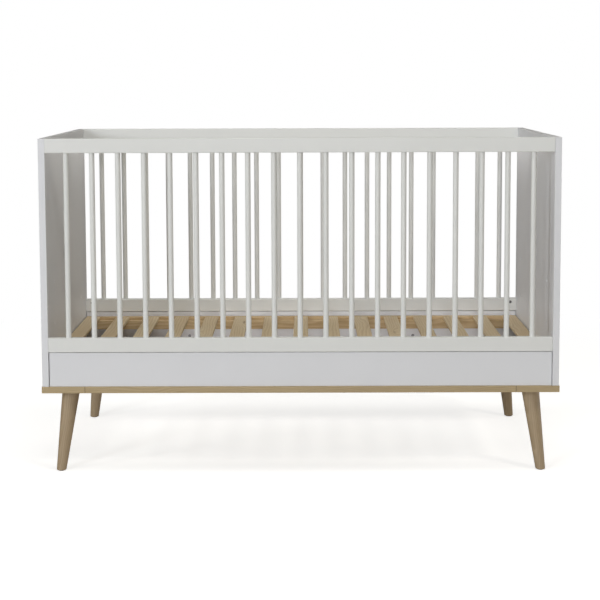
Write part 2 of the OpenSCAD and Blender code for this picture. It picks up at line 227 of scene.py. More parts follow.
# a thin settled film on what faces up
def makeDustGroup():
    tree, source, target = newTree(
        "settledDust", "ShaderNodeTree",
        [("Coordinate", "Vector", None), ("Normal", "Vector", None), ("Amount", "Float", 0.3)],
        [("Mask", "Float")])
    patches = noise(tree, source["Coordinate"], dustSetting["patches"], 5.0, 0.6)
    level = spread(tree, splitXyz(tree, source["Normal"])[2], *dustSetting["level"])
    mask = times(tree, level, spread(tree, patches, *dustSetting["patchEdge"]))
    feed(tree, target, {"Mask": times(tree, mask, source["Amount"])})
    return tree


woodGroup = makeWoodGroup()
coatGroup = makeCoatGroup()
rimGroup = makeRimGroup()
dustGroup = makeDustGroup()


# ---- materials

def startMaterial(name, roughness, specular=0.5):
    material = bpy.data.materials.new(name)
    material.use_nodes = True
    tree = material.node_tree
    tree.nodes.clear()
    shader = addNode(tree, "ShaderNodeBsdfPrincipled",
                     {"Roughness": roughness, "Specular IOR Level": specular})
    addNode(tree, "ShaderNodeOutputMaterial", {"Surface": shader.outputs[0]})
    return material, tree, shader


def placeGroup(tree, group, inputs):
    return addNode(tree, "ShaderNodeGroup", inputs, node_tree=group).outputs


def readAttribute(tree, name):
    return addNode(tree, "ShaderNodeAttribute", attribute_name=name).outputs["Vector"]


def addBump(tree, shader, height, strength, distance):
    bump = addNode(tree, "ShaderNodeBump", {"Strength": strength, "Distance": distance, "Height": height})
    feed(tree, shader, {"Normal": bump.outputs[0]})


def coatedMaterial(name, look):
    material, tree, shader = startMaterial(name, look["roughness"], look["specular"])
    grain = readAttribute(tree, "grain")
    coat = placeGroup(tree, coatGroup, {"Coordinate": grain, "Peel Size": look["peel"],
                                        "Grain Through": look["grainThrough"]})
    rim = placeGroup(tree, rimGroup, {"From Low": readAttribute(tree, "fromLow"),
                                      "From High": readAttribute(tree, "fromHigh"),
                                      "Coordinate": grain, "Width": look["wearWidth"]})
    facing = tree.nodes.new("ShaderNodeTexCoord").outputs["Normal"]
    dust = placeGroup(tree, dustGroup, {"Coordinate": grain, "Normal": facing, "Amount": look["dust"]})
    paint = blendColour(tree, coat["Tone"], look["paint"], look["paintShade"])
    paint = blendColour(tree, rim["Wear"], paint, look["worn"])
    if "seam" in look:
        paint = blendColour(tree, times(tree, rim["Seam"], look["seam"]), paint, look["seamColour"])
    paint = blendColour(tree, dust["Mask"], paint, look["dustColour"])
    rough = spread(tree, coat["Height"], 0.3, 0.8, look["roughness"] - 0.05, look["roughness"] + 0.07)
    rough = plus(tree, rough, times(tree, dust["Mask"], 0.3), clamp=True)
    feed(tree, shader, {"Base Color": paint, "Roughness": rough, "Coat Weight": look["coat"],
                        "Coat Roughness": look["coatRoughness"]})
    addBump(tree, shader, coat["Height"], look["bump"], look["bumpDepth"])
    return material


def woodMaterial(name, look):
    material, tree, shader = startMaterial(name, look["roughness"], look["specular"])
    place = tree.nodes.new("ShaderNodeTexCoord").outputs
    grain = readAttribute(tree, "grain") if look["ownGrain"] else place["Object"]
    wood = placeGroup(tree, woodGroup, {"Coordinate": grain, "Pale": look["pale"], "Dark": look["dark"],
                                        "Ring Width": look["ringWidth"], "Pores": look["pores"],
                                        "Knots": look["knots"]})
    dust = placeGroup(tree, dustGroup,
                      {"Coordinate": grain, "Normal": place["Normal"], "Amount": look["dust"]})
    shade = wood["Color"]
    if look["ownGrain"]:
        fromLow, fromHigh = readAttribute(tree, "fromLow"), readAttribute(tree, "fromHigh")
        rim = placeGroup(tree, rimGroup, {"From Low": fromLow, "From High": fromHigh,
                                          "Coordinate": grain, "Width": look["wearWidth"]})
        shade = blendColour(tree, rim["Wear"], shade, look["worn"])
    if look.get("joint"):
        # a dark line where the board butts against its neighbours
        fromEnd = splitXyz(tree, vectorCalc(tree, "MINIMUM", fromLow, fromHigh))[0]
        joint = times(tree, spread(tree, fromEnd, *look["jointEdge"]), look["joint"])
        shade = blendColour(tree, joint, shade, look["jointColour"])
    shade = blendColour(tree, dust["Mask"], shade, look["dustColour"])
    rough = spread(tree, wood["Streaks"], 0.0, 1.0, look["roughness"] - 0.08, look["roughness"] + 0.1)
    feed(tree, shader, {"Base Color": shade, "Roughness": rough})
    addBump(tree, shader, wood["Height"], look["bump"], look["bumpDepth"])
    return material


boardLook = {
    "paint": colour(.80, .81, .85), "paintShade": colour(.785, .795, .835),
    "worn": colour(.70, .70, .69), "seam": 0.35, "seamColour": colour(.60, .60, .60),
    "dust": 0.10, "dustColour": colour(.66, .65, .62), "wearWidth": 0.6 * mm,
    "roughness": 0.42, "specular": 0.45, "coat": 0.06, "coatRoughness": 0.3,
    "peel": 1500.0, "grainThrough": 0.0, "bump": 0.12, "bumpDepth": 0.2 * mm,
}
paintLook = {
    "paint": colour(.81, .82, .815), "paintShade": colour(.798, .808, .80),
    "worn": colour(.74, .70, .60), "dust": 0.12, "dustColour": colour(.66, .64, .60), "wearWidth": 0.8 * mm,
    "roughness": 0.38, "specular": 0.5, "coat": 0.12, "coatRoughness": 0.25,
    "peel": 700.0, "grainThrough": 0.8, "bump": 0.16, "bumpDepth": 0.3 * mm,
}
oakLook = {
    "pale": colour(.55, .435, .265), "dark": colour(.385, .29, .165), "ringWidth": 3.5 * mm,
    "pores": 0.6, "knots": 0.0, "roughness": 0.55, "specular": 0.35, "dust": 0.1,
    "dustColour": colour(.55, .52, .47), "worn": colour(.62, .50, .36), "wearWidth": 0.7 * mm,
    "bump": 0.25, "bumpDepth": 0.3 * mm, "ownGrain": True, "joint": 0.85,
    "jointEdge": (2.2 * mm, 0.8 * mm), "jointColour": colour(.10, .075, .045),
}
legLook = {
    "pale": colour(.50, .39, .26), "dark": colour(.36, .265, .165), "ringWidth": 5.5 * mm,
    "pores": 0.35, "knots": 0.0, "roughness": 0.48, "specular": 0.4, "dust": 0.05,
    "dustColour": colour(.50, .47, .42), "worn": colour(.5, .4, .28), "wearWidth": 0.1 * mm,
    "bump": 0.22, "bumpDepth": 0.3 * mm, "ownGrain": True,
}
slatLook = {
    "pale": colour(.74, .615, .42), "dark": colour(.54, .405, .245), "ringWidth": 8.5 * mm,
    "pores": 0.15, "knots": 1.0, "roughness": 0.66, "specular": 0.3, "dust": 0.12,
    "dustColour": colour(.60, .56, .50), "worn": colour(.76, .64, .45), "wearWidth": 0.8 * mm,
    "bump": 0.3, "bumpDepth": 0.4 * mm, "ownGrain": True,
}
dowelLook = {
    "pale": colour(.72, .57, .38), "dark": colour(.58, .43, .27), "ringWidth": 4.0 * mm,
    "pores": 0.3, "knots": 0.0, "roughness": 0.7, "specular": 0.3, "dust": 0.0,
    "dustColour": colour(.5, .5, .5), "bump": 0.3, "bumpDepth": 0.3 * mm, "ownGrain": False,
}


steelLook = {
    "bright": colour(.66, .67, .68), "dull": colour(.50, .51, .50), "smooth": 0.26, "rough": 0.46,
    "cloud": 700.0, "cloudEdge": (0.35, 0.7), "drawn": (900.0, 900.0, 4200.0), "bump": 0.15,
    "bumpDepth": 0.1 * mm,
}
# the barrel nuts' metal is dark grey: painted shade of the recess each nut sits in
shadedNutLook = dict(steelLook, bright=colour(.25, .25, .26), dull=colour(.16, .16, .165), smooth=0.42, rough=0.62)


def metalMaterial(name, look):
    material, tree, shader = startMaterial(name, look["smooth"])
    at = tree.nodes.new("ShaderNodeTexCoord").outputs["Object"]
    cloud = spread(tree, noise(tree, at, look["cloud"], 4.0, 0.6), *look["cloudEdge"])
    feed(tree, shader, {"Base Color": blendColour(tree, cloud, look["bright"], look["dull"]),
                        "Roughness": spread(tree, cloud, 0.0, 1.0, look["smooth"], look["rough"]),
                        "Metallic": 1.0})
    addBump(tree, shader, noise(tree, at, look["drawn"]), look["bump"], look["bumpDepth"])
    return material


feltLook = {
    "pale": colour(.36, .35, .33), "dark": colour(.22, .215, .20), "hairs": 2600.0, "hairEdge": (0.3, 0.7),
    "sheen": 0.35, "sheenRoughness": 0.5, "bump": 0.6, "bumpDepth": 0.6 * mm,
}


def feltMaterial():
    material, tree, shader = startMaterial("glideFelt", 0.95, 0.15)
    at = tree.nodes.new("ShaderNodeTexCoord").outputs["Object"]
    hairs = noise(tree, at, feltLook["hairs"], 5.0, 0.7, 1.5)
    shade = blendColour(tree, spread(tree, hairs, *feltLook["hairEdge"]), feltLook["dark"], feltLook["pale"])
    feed(tree, shader, {"Base Color": shade, "Sheen Weight": feltLook["sheen"],
                        "Sheen Roughness": feltLook["sheenRoughness"]})
    addBump(tree, shader, hairs, feltLook["bump"], feltLook["bumpDepth"])
    return material


whiteBoard = coatedMaterial("whiteBoard", boardLook)
whitePaint = coatedMaterial("whitePaint", paintLook)
oakBoard = woodMaterial("oakBoard", oakLook)
oakEndBoard = woodMaterial("oakEndBoard", dict(oakLook, joint=0.0))
legWood = woodMaterial("legWood", legLook)
slatWood = woodMaterial("slatWood", slatLook)
# the frame rails and ledges take a darker, warmer copy of the slats' wood: painted shade for the shade they
# lie in below and between the slats
frameWood = woodMaterial("frameWood", dict(slatLook, pale=colour(.66, .50, .30), dark=colour(.44, .30, .155)))
dowelWood = woodMaterial("dowelWood", dowelLook)
zincSteel = metalMaterial("zincSteel", steelLook)
nutMetal = metalMaterial("nutMetal", shadedNutLook)
glideFelt = feltMaterial()
print("materials made")


# ---- helpers for meshes

def addObject(name, mesh):
    made = bpy.data.objects.new(name, mesh)
    bpy.context.scene.collection.objects.link(made)
    return made


def meshArray(mesh):
    points = np.empty(len(mesh.vertices) * 3)
    mesh.vertices.foreach_get("co", points)
    return points.reshape(-1, 3)


def storeVector(mesh, name, values, domain="POINT"):
    layer = mesh.attributes.get(name) or mesh.attributes.new(name, "FLOAT_VECTOR", domain)
    layer.data.foreach_set("vector", np.asarray(values, float).ravel())


# runs the modifiers and keeps their result as a plain mesh
def settle(piece):
    evaluated = piece.evaluated_get(bpy.context.evaluated_depsgraph_get())
    settled = bpy.data.meshes.new_from_object(evaluated)
    settled.name = piece.name
    old = piece.data
    piece.modifiers.clear()
    piece.data = settled
    if old.users == 0:
        bpy.data.meshes.remove(old)
    return piece


# flat faces stay flat beside their rounded edges
def smoothByAngle(piece, degrees=36):
    piece.data.shade_smooth()
    piece.data.set_sharp_from_angle(angle=math.radians(degrees))
    weighted = piece.modifiers.new("weighted", "WEIGHTED_NORMAL")
    weighted.keep_sharp = True
    return settle(piece)


# distances to the sides of a board's box, and a coordinate that runs along its grain;
# on banded ends the grain turns and runs along the band
def addBoardAttributes(piece, order, shift, banded):
    mesh = piece.data
    points = meshArray(mesh)
    low, high = points.min(0), points.max(0)
    storeVector(mesh, "fromLow", points - low)
    storeVector(mesh, "fromHigh", high - points)
    grain = []
    for face in mesh.polygons:
        onEnd = banded and abs(face.normal[order[0]]) > 0.7
        turned = order[1:] + order[:1] if onEnd else order
        grain += [(points[index] - low)[turned] for index in face.vertices]
    storeVector(mesh, "grain", np.array(grain) + np.array(shift), "CORNER")


def setMaterial(piece, material):
    piece.data.materials.clear()
    piece.data.materials.append(material)


# a finished piece moves with a body and stands for its CAD nodes
def finishPiece(piece, body, nodeNames):
    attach(piece, body)
    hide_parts(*nodeNames)


weldDistance = 0.001 * mm
boxTouch = 0.02 * mm     # how near the side of a box counts as on it


# a CAD node's loose triangles, merged in a shape of their own
def mergedShape(nodeName):
    shape = bmesh.new()
    shape.from_mesh(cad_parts[nodeName].data)
    bmesh.ops.remove_doubles(shape, verts=shape.verts, dist=weldDistance)
    return shape


def shapeMesh(name, shape):
    mesh = bpy.data.meshes.new(name)
    shape.to_mesh(mesh)
    shape.free()
    return mesh


# boxes of the separate solids in a CAD node, from left to right
def looseParts(nodeName):
    shape = mergedShape(nodeName)
    seen, boxes = set(), []
    for start in shape.verts:
        if start in seen:
            continue
        seen.add(start)
        stack, part = [start], []
        while stack:
            vertex = stack.pop()
            part.append(vertex.co.copy())
            for edge in vertex.link_edges:
                other = edge.other_vert(vertex)
                if other not in seen:
                    seen.add(other)
                    stack.append(other)
        part = np.array(part)
        boxes.append((Vector(part.min(0)), Vector(part.max(0))))
    shape.free()
    return sorted(boxes, key=lambda box: tuple(round(v, 4) for v in box[0]))


def onBoxEdge(edge, low, high):
    def sides(vertex):
        return {(axis, which) for axis in range(3) for which, side in enumerate((low, high))
                if abs(vertex.co[axis] - side[axis]) < boxTouch}
    return len(sides(edge.verts[0]) & sides(edge.verts[1])) >= 2


alongX, alongY, alongZ = [0, 1, 2], [1, 0, 2], [2, 0, 1]


# ---- end panels, rails, aprons and base boards

# a board or rail of the CAD model with its box's edges rounded and its holes kept
def board(pieceName, nodeName, material, slotName, order, radius, shift, body=caseBody):
    shape = mergedShape(nodeName)
    bmesh.ops.dissolve_limit(shape, angle_limit=math.radians(0.5), verts=shape.verts, edges=shape.edges)
    low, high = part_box(nodeName)
    weights = shape.edges.layers.float.new("bevel_weight_edge")
    for edge in shape.edges:
        edge[weights] = 1.0 if onBoxEdge(edge, low, high) else 0.0
    piece = addObject(pieceName, shapeMesh(pieceName, shape))
    bevel = piece.modifiers.new("roundEdges", "BEVEL")
    bevel.limit_method = "WEIGHT"
    bevel.width = radius
    bevel.segments = 3
    settle(piece)
    smoothByAngle(piece)
    addBoardAttributes(piece, order, shift, slotName == "oak_base")
    setMaterial(piece, material)
    finishPiece(piece, body, [nodeName])


boardRadius = 0.8 * mm
railRadius = 1.8 * mm
frameRadius = 1.5 * mm

for index, side in enumerate(("left", "right")):
    board(side + "Panel", side + "_end_panel", whiteBoard, "white_board", alongZ, boardRadius,
          (1.3 * index, 0, 0))
for index, (side, level) in enumerate((("front", "top"), ("front", "bottom"), ("back", "top"),
                                       ("back", "bottom"))):
    board(side + level.capitalize() + "Rail", side + "_" + level + "_rail", whitePaint, "white_paint",
          alongX, railRadius, (2.1 * index, 0.3 * index, 0))
for index, side in enumerate(("front", "back")):
    board(side + "Apron", side + "_apron", whiteBoard, "white_board", alongX, boardRadius,
          (1.7 * index, 0.9, 0))
for index, (side, order, oak) in enumerate((("left", alongY, oakEndBoard), ("right", alongY, oakEndBoard),
                                            ("front", alongX, oakBoard), ("back", alongX, oakBoard))):
    board(side + "BaseBoard", "base_" + side + "_board", oak, "oak_base", order, boardRadius,
          (0.77 * index, 0.31 * index, 0.2 * index))
print("boards and rails made")


# ---- what Geometry Nodes repeats

def geometryTree(name, inputs):
    return newTree(name, "GeometryNodeTree",
                   [("Geometry", "Geometry", None)] + inputs, [("Geometry", "Geometry")])


# sets the tree's named inputs by their identifiers, then keeps the result as a plain mesh
def runTree(pieceName, tree, values, startMesh=None):
    piece = addObject(pieceName, startMesh or bpy.data.meshes.new(pieceName))
    modifier = piece.modifiers.new(tree.name, "NODES")
    modifier.node_group = tree
    for item in tree.interface.items_tree:
        if item.item_type == "SOCKET" and item.in_out == "INPUT" and item.name in values:
            modifier[item.identifier] = values[item.name]
    return settle(piece)


def joinXyz(tree, x=0.0, y=0.0, z=0.0):
    return addNode(tree, "ShaderNodeCombineXYZ", {0: x, 1: y, 2: z}).outputs[0]


def storeOn(tree, geometry, name, value, domain="POINT"):
    return addNode(tree, "GeometryNodeStoreNamedAttribute",
                   {"Geometry": geometry, "Name": name, "Value": value},
                   data_type="FLOAT_VECTOR", domain=domain).outputs[0]


def namedVector(tree, name):
    return addNode(tree, "GeometryNodeInputNamedAttribute", {"Name": name},
                   data_type="FLOAT_VECTOR").outputs["Attribute"]


def finishTree(tree, target, geometry, material):
    painted = addNode(tree, "GeometryNodeSetMaterial", {"Geometry": geometry, "Material": material})
    feed(tree, target, {"Geometry": painted.outputs[0]})
    return tree


# the part stands at each point of a row with a grain of its own: the part's axes are taken
# in the given order, and a random offset is added
def finishRow(tree, source, target, part, order):
    row = addNode(tree, "GeometryNodeMeshLine",
                  {"Count": source["Count"], "Start Location": source["Row Start"],
                   "Offset": joinXyz(tree, source["Pitch"])}).outputs[0]
    place = splitXyz(tree, tree.nodes.new("GeometryNodeInputPosition").outputs[0])
    grained = storeOn(tree, part, "grain", joinXyz(tree, *(place[axis] for axis in order)))
    placed = addNode(tree, "GeometryNodeInstanceOnPoints", {"Points": row, "Instance": grained}).outputs[0]
    offset = addNode(tree, "FunctionNodeRandomValue", {0: (0, 0, 0), 1: (9, 9, 9), "Seed": source["Seed"]},
                     data_type="FLOAT_VECTOR").outputs[0]
    seeded = storeOn(tree, placed, "pieceSeed", offset, "INSTANCE")
    real = addNode(tree, "GeometryNodeRealizeInstances", {"Geometry": seeded}).outputs[0]
    grain = vectorCalc(tree, "ADD", namedVector(tree, "grain"), namedVector(tree, "pieceSeed"))
    return finishTree(tree, target, storeOn(tree, real, "grain", grain), source["Material"])


def makeBarTree():
    tree, source, target = geometryTree("barRow", [
        ("Count", "Int", 19), ("Pitch", "Float", 0.0717), ("Diameter", "Float", 0.015),
        ("Length", "Float", 0.54), ("Row Start", "Vector", None), ("Sides", "Int", 40),
        ("Seed", "Int", 1), ("Material", "Material", None)])
    shaft = addNode(tree, "GeometryNodeCurvePrimitiveLine", {"End": joinXyz(tree, z=source["Length"])})
    stations = addNode(tree, "GeometryNodeResampleCurve", {"Curve": shaft.outputs[0], "Count": 9})
    ring = addNode(tree, "GeometryNodeCurvePrimitiveCircle",
                   {"Resolution": source["Sides"], "Radius": times(tree, source["Diameter"], 0.5)})
    bar = addNode(tree, "GeometryNodeCurveToMesh",
                  {"Curve": stations.outputs[0], "Profile Curve": ring.outputs[0], "Fill Caps": True})
    return finishRow(tree, source, target, bar.outputs[0], alongZ)


barTree = makeBarTree()
barLook = {"sides": 40, "seeds": {"front": 3, "back": 8}}
unworn = 50 * mm         # a round piece has no edges to wear, so it lies far from every side


def makeBars(side):
    bars = looseParts(side + "_bars")
    low, high = bars[0]
    piece = runTree(side + "Bars", barTree, {
        "Count": len(bars), "Pitch": (bars[-1][0].x - low.x) / (len(bars) - 1),
        "Diameter": high.x - low.x, "Length": high.z - low.z,
        "Row Start": Vector(((low.x + high.x) / 2, (low.y + high.y) / 2, low.z)),
        "Sides": barLook["sides"], "Seed": barLook["seeds"][side], "Material": whitePaint})
    smoothByAngle(piece)
    for name in ("fromLow", "fromHigh"):
        storeVector(piece.data, name, np.full((len(piece.data.vertices), 3), unworn))
    finishPiece(piece, caseBody, [side + "_bars"])


makeBars("front")
makeBars("back")
print("bars made")


slatLayout = {"edgeRadius": 1.6 * mm, "edgeSteps": 3, "seed": 5, "headPlay": 0.2 * mm, "headSides": 24}


def makeSlatTree():
    tree, source, target = geometryTree("slatRow", [
        ("Count", "Int", 15), ("Pitch", "Float", 0.1), ("Width", "Float", 0.045), ("Length", "Float", 0.66),
        ("Thickness", "Float", 0.009), ("Edge Radius", "Float", 0.0016), ("Row Start", "Vector", None),
        ("Screw Place", "Float", 0.32), ("Screw Head", "Float", 0.0072), ("Seed", "Int", 1),
        ("Material", "Material", None)])
    outline = addNode(tree, "GeometryNodeCurvePrimitiveQuadrilateral",
                      {"Width": source["Width"], "Height": source["Thickness"]})
    rounded = addNode(tree, "GeometryNodeFilletCurve",
                      {"Curve": outline.outputs[0], "Radius": source["Edge Radius"]}, mode="POLY")
    for socket in rounded.inputs:
        if socket.name == "Count":
            socket.default_value = slatLayout["edgeSteps"]
    half = times(tree, source["Length"], 0.5)
    path = addNode(tree, "GeometryNodeCurvePrimitiveLine",
                   {"Start": joinXyz(tree, z=times(tree, half, -1.0)), "End": joinXyz(tree, z=half)})
    swept = addNode(tree, "GeometryNodeCurveToMesh",
                    {"Curve": path.outputs[0], "Profile Curve": rounded.outputs[0], "Fill Caps": True})
    lying = addNode(tree, "GeometryNodeTransform",
                    {"Geometry": swept.outputs[0], "Rotation": (math.pi / 2, 0, 0)})
    top = times(tree, source["Thickness"], 0.5)
    headRadius = times(tree, source["Screw Head"], 0.5)
    cutter = addNode(tree, "GeometryNodeMeshCone",
                     {"Vertices": slatLayout["headSides"], "Radius Top": headRadius,
                      "Radius Bottom": times(tree, headRadius, 0.5), "Depth": headRadius})
    depth = calc(tree, "SUBTRACT", top, times(tree, headRadius, 0.96))
    drilled = addNode(tree, "GeometryNodeMeshBoolean", {0: lying.outputs[0]},
                      operation="DIFFERENCE", solver="EXACT")
    joined = tree.nodes.new("GeometryNodeJoinGeometry")
    for side in (-1.0, 1.0):
        place = joinXyz(tree, y=times(tree, source["Screw Place"], side), z=depth)
        cut = addNode(tree, "GeometryNodeTransform", {"Geometry": cutter.outputs[0], "Translation": place})
        tree.links.new(cut.outputs[0], joined.inputs[0])
    tree.links.new(joined.outputs[0], drilled.inputs[1])
    return finishRow(tree, source, target, drilled.outputs[0], alongY)


def makeSlats():
    names = sorted(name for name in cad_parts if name.startswith("slat_") and name[5:].isdigit())
    low, high = (np.array(side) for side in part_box(names[0]))
    pitch = (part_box(names[-1])[0][0] - low[0]) / (len(names) - 1)
    size = high - low
    centre = (low + high) / 2
    screwLow, screwHigh = looseParts("slat_screws")[-1]
    piece = runTree("slats", makeSlatTree(), {
        "Count": len(names), "Pitch": pitch, "Width": size[0], "Length": size[1], "Thickness": size[2],
        "Edge Radius": slatLayout["edgeRadius"], "Row Start": Vector(centre),
        "Screw Place": (screwLow.y + screwHigh.y) / 2,
        "Screw Head": screwHigh.x - screwLow.x + slatLayout["headPlay"],
        "Seed": slatLayout["seed"], "Material": slatWood})
    smoothByAngle(piece)
    fromLow = meshArray(piece.data) - low
    fromLow[:, 0] -= pitch * np.round((fromLow[:, 0] - size[0] / 2) / pitch)
    storeVector(piece.data, "fromLow", fromLow)
    storeVector(piece.data, "fromHigh", size - fromLow)
    finishPiece(piece, slatBody, names)


makeSlats()
# the slat frame's rails, ledges and cross rails get the darkened wood, as painted shade
for index, (side, part, order) in enumerate((
        ("front", "rail", alongX), ("back", "rail", alongX), ("front", "ledge", alongX),
        ("back", "ledge", alongX), ("left", "cross_rail", alongY), ("right", "cross_rail", alongY))):
    board("slat" + side.title() + part.title().replace("_", ""), "slat_frame_" + side + "_" + part,
          frameWood, "slat_wood", order, frameRadius,
          (3.3 + 1.9 * index, 0.41 * index, 0.17 * index), slatBody)
print("slatted base made")


# ---- turned pieces: an outline of (radius, height) points closed on its axis

def turnedMesh(name, outline, sides):
    shape = bmesh.new()
    rings = []
    for radius, height in outline:
        if radius <= 0:
            rings.append([shape.verts.new((0, 0, height))])
        else:
            rings.append([shape.verts.new((radius * math.cos(turn), radius * math.sin(turn), height))
                          for turn in (2 * math.pi * i / sides for i in range(sides))])
    for lower, upper in zip(rings, rings[1:]):
        for i in range(sides):
            j = (i + 1) % sides
            corners = [lower[i % len(lower)], lower[j % len(lower)],
                       upper[j % len(upper)], upper[i % len(upper)]]
            shape.faces.new(list(dict.fromkeys(corners)))
    bmesh.ops.recalc_face_normals(shape, faces=shape.faces)
    return shapeMesh(name, shape)


# the outline of a CAD leg at one height: middle and half size
def levelSection(nodeName, height):
    points = meshArray(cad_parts[nodeName].data)
    level = points[np.abs(points[:, 2] - height) < 0.1 * mm]
    low, high = level.min(0), level.max(0)
    return (low + high) / 2, (high - low) / 2


legSetting = {"sides": 48, "rings": 12, "footSteps": 4, "footRound": 1.2 * mm, "topRound": 0.4 * mm}


def makeLeg(pieceName, nodeName, index):
    low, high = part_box(nodeName)
    foot, footHalf = levelSection(nodeName, low[2])
    top, topHalf = levelSection(nodeName, high[2])
    tall = high[2] - low[2]

    def radiusAt(height):
        return footHalf[:2].mean() + (topHalf[:2].mean() - footHalf[:2].mean()) * height / tall

    rounding = legSetting["footRound"]
    outline = [(0, 0)]
    for step in range(legSetting["footSteps"] + 1):
        turn = math.pi / 2 * step / legSetting["footSteps"]
        height = rounding * (1 - math.cos(turn))
        outline.append((radiusAt(height) - rounding * (1 - math.sin(turn)), height))
    for step in range(1, legSetting["rings"]):
        height = rounding + (tall - rounding) * step / legSetting["rings"]
        outline.append((radiusAt(height), height))
    edge = legSetting["topRound"]
    outline += [(radiusAt(tall - edge), tall - edge), (radiusAt(tall) - edge, tall), (0, tall)]
    mesh = turnedMesh(pieceName, outline, legSetting["sides"])
    straight = meshArray(mesh)
    placed = straight.copy()
    placed[:, :2] += foot[:2] + (top[:2] - foot[:2]) * straight[:, 2:3] / tall
    placed[:, 2] += low[2]
    mesh.vertices.foreach_set("co", placed.ravel())
    piece = addObject(pieceName, mesh)
    smoothByAngle(piece)
    storeVector(piece.data, "grain", straight[:, alongZ] + np.array([0.9 * index, 0.013 * index, 0.2]))
    for name in ("fromLow", "fromHigh"):
        storeVector(piece.data, name, np.full(straight.shape, unworn))
    setMaterial(piece, legWood)
    finishPiece(piece, caseBody, [nodeName])


for index, (end, side) in enumerate((("front", "left"), ("front", "right"), ("back", "left"),
                                     ("back", "right"))):
    makeLeg(end + side.capitalize() + "Leg", end + "_" + side + "_leg", index)
print("legs made")


# ---- fasteners: one tree sets a master part on points, turned to face along "facing"

def makeFastenerTree():
    tree, source, target = geometryTree("setFasteners", [
        ("Fastener", "Object", None), ("Spin", "Float", 2 * math.pi), ("Seed", "Int", 1),
        ("Material", "Material", None)])
    part = addNode(tree, "GeometryNodeObjectInfo", {"Object": source["Fastener"]})
    aim = addNode(tree, "FunctionNodeAlignRotationToVector", {"Vector": namedVector(tree, "facing")},
                  axis="Z")
    spin = addNode(tree, "FunctionNodeRandomValue", {2: 0.0, 3: source["Spin"], "Seed": source["Seed"]},
                   data_type="FLOAT")
    turned = addNode(tree, "FunctionNodeAxisAngleToRotation",
                     {"Axis": (0, 0, 1), "Angle": spin.outputs[1]})
    rotation = addNode(tree, "FunctionNodeRotateRotation",
                       {0: aim.outputs[0], 1: turned.outputs[0]}, rotation_space="LOCAL")
    placed = addNode(tree, "GeometryNodeInstanceOnPoints",
                     {"Points": source["Geometry"], "Instance": part.outputs["Geometry"],
                      "Rotation": rotation.outputs[0]})
    real = addNode(tree, "GeometryNodeRealizeInstances", {"Geometry": placed.outputs[0]})
    return finishTree(tree, target, real.outputs[0], source["Material"])


fastenerTree = makeFastenerTree()


# each place is a point and the direction that its fastener faces
def setFasteners(pieceName, nodeName, master, places, material, body, seed, spin=2 * math.pi):
    points = bpy.data.meshes.new(pieceName)
    points.from_pydata([tuple(at) for at, _ in places], [], [])
    storeVector(points, "facing", [tuple(direction) for _, direction in places])
    piece = runTree(pieceName, fastenerTree, {
        "Fastener": master, "Spin": spin, "Seed": seed, "Material": material}, points)
    bpy.data.objects.remove(master)
    smoothByAngle(piece)
    finishPiece(piece, body, [nodeName])


# places at one end of each solid's box along an axis: the end is 1 for the high one, -1 for the
# low one and 0 for the one away from the middle of the bed; facing is 1 out of that end, -1 into it
def endPlaces(nodeName, axis, end, inset=0.0, facing=1):
    places = []
    for low, high in looseParts(nodeName):
        at = (low + high) / 2
        side = end or (1 if at[axis] > 0 else -1)
        at[axis] = (high if side > 0 else low)[axis] - side * inset
        direction = Vector((0, 0, 0))
        direction[axis] = side * facing
        places.append((at, direction))
    return places


# cuts a tool shape out of a master part
def cutOut(master, cutter):
    tool = addObject("cutter", cutter)
    boolean = master.modifiers.new("cut", "BOOLEAN")
    boolean.operation = "DIFFERENCE"
    boolean.solver = "EXACT"
    boolean.object = tool
    settle(master)
    bpy.data.objects.remove(tool)


def prism(name, sides, radius, low, high):
    shape = bmesh.new()
    bmesh.ops.create_cone(shape, cap_ends=True, segments=sides, radius1=radius, radius2=radius,
                          depth=high - low,
                          matrix=Matrix.Translation((0, 0, (high + low) / 2)))
    return shapeMesh(name, shape)


def slab(name, low, high):
    shape = bmesh.new()
    size = Vector(high) - Vector(low)
    centre = (Vector(low) + Vector(high)) / 2
    bmesh.ops.create_cube(shape, size=1.0, matrix=Matrix.Translation(centre) @ Matrix.Diagonal(size.to_4d()))
    return shapeMesh(name, shape)


boltLook = {"head": 2.0 * mm, "shank": 3.0 * mm, "key": 2.3 * mm, "keyDepth": 1.3 * mm, "domeSteps": 5}


# a flanged bolt with a domed head and a hex key socket: z = 0 is under its head, and it faces +Z
def boltMaster(name, headRadius, shankLength):
    head, shank = boltLook["head"], boltLook["shank"]
    outline = [(0, -shankLength), (shank * 0.8, -shankLength), (shank, -shankLength + shank * 0.3),
               (shank, 0), (headRadius * 0.97, 0), (headRadius, head * 0.15), (headRadius, head * 0.35)]
    for step in range(1, boltLook["domeSteps"] + 1):
        turn = math.pi / 2 * step / boltLook["domeSteps"]
        outline.append((headRadius * (0.62 + 0.38 * math.cos(turn)), head * (0.35 + 0.65 * math.sin(turn))))
    outline.append((0, head))
    master = addObject(name, turnedMesh(name, outline, 40))
    cutOut(master, prism("key", 6, boltLook["key"], head - boltLook["keyDepth"], head + boltLook["keyDepth"]))
    return master


for pieceName, nodeName, axis, end, seed in (("sideBolts", "side_bolts", 0, 0, 4),
                                             ("apronBolts", "apron_bolts", 2, -1, 9)):
    low, high = looseParts(nodeName)[0]
    size = high - low
    length = size[axis]
    size[axis] = 0
    master = boltMaster(pieceName + "Master", max(size) / 2, length - boltLook["head"])
    setFasteners(pieceName, nodeName, master, endPlaces(nodeName, axis, end, boltLook["head"]),
                 zincSteel, caseBody, seed)


# a barrel nut: its slotted end faces along +Z
def nutMaster(name, radius, length):
    chamfer = radius * 0.12
    outline = [(0, -length / 2), (radius - chamfer, -length / 2), (radius, -length / 2 + chamfer),
               (radius, length / 2 - chamfer), (radius - chamfer, length / 2), (0, length / 2)]
    master = addObject(name, turnedMesh(name, outline, 36))
    cutOut(master, slab("slot", (-radius * 1.2, -radius * 0.16, length / 2 - radius * 0.3),
                        (radius * 1.2, radius * 0.16, length)))
    return master


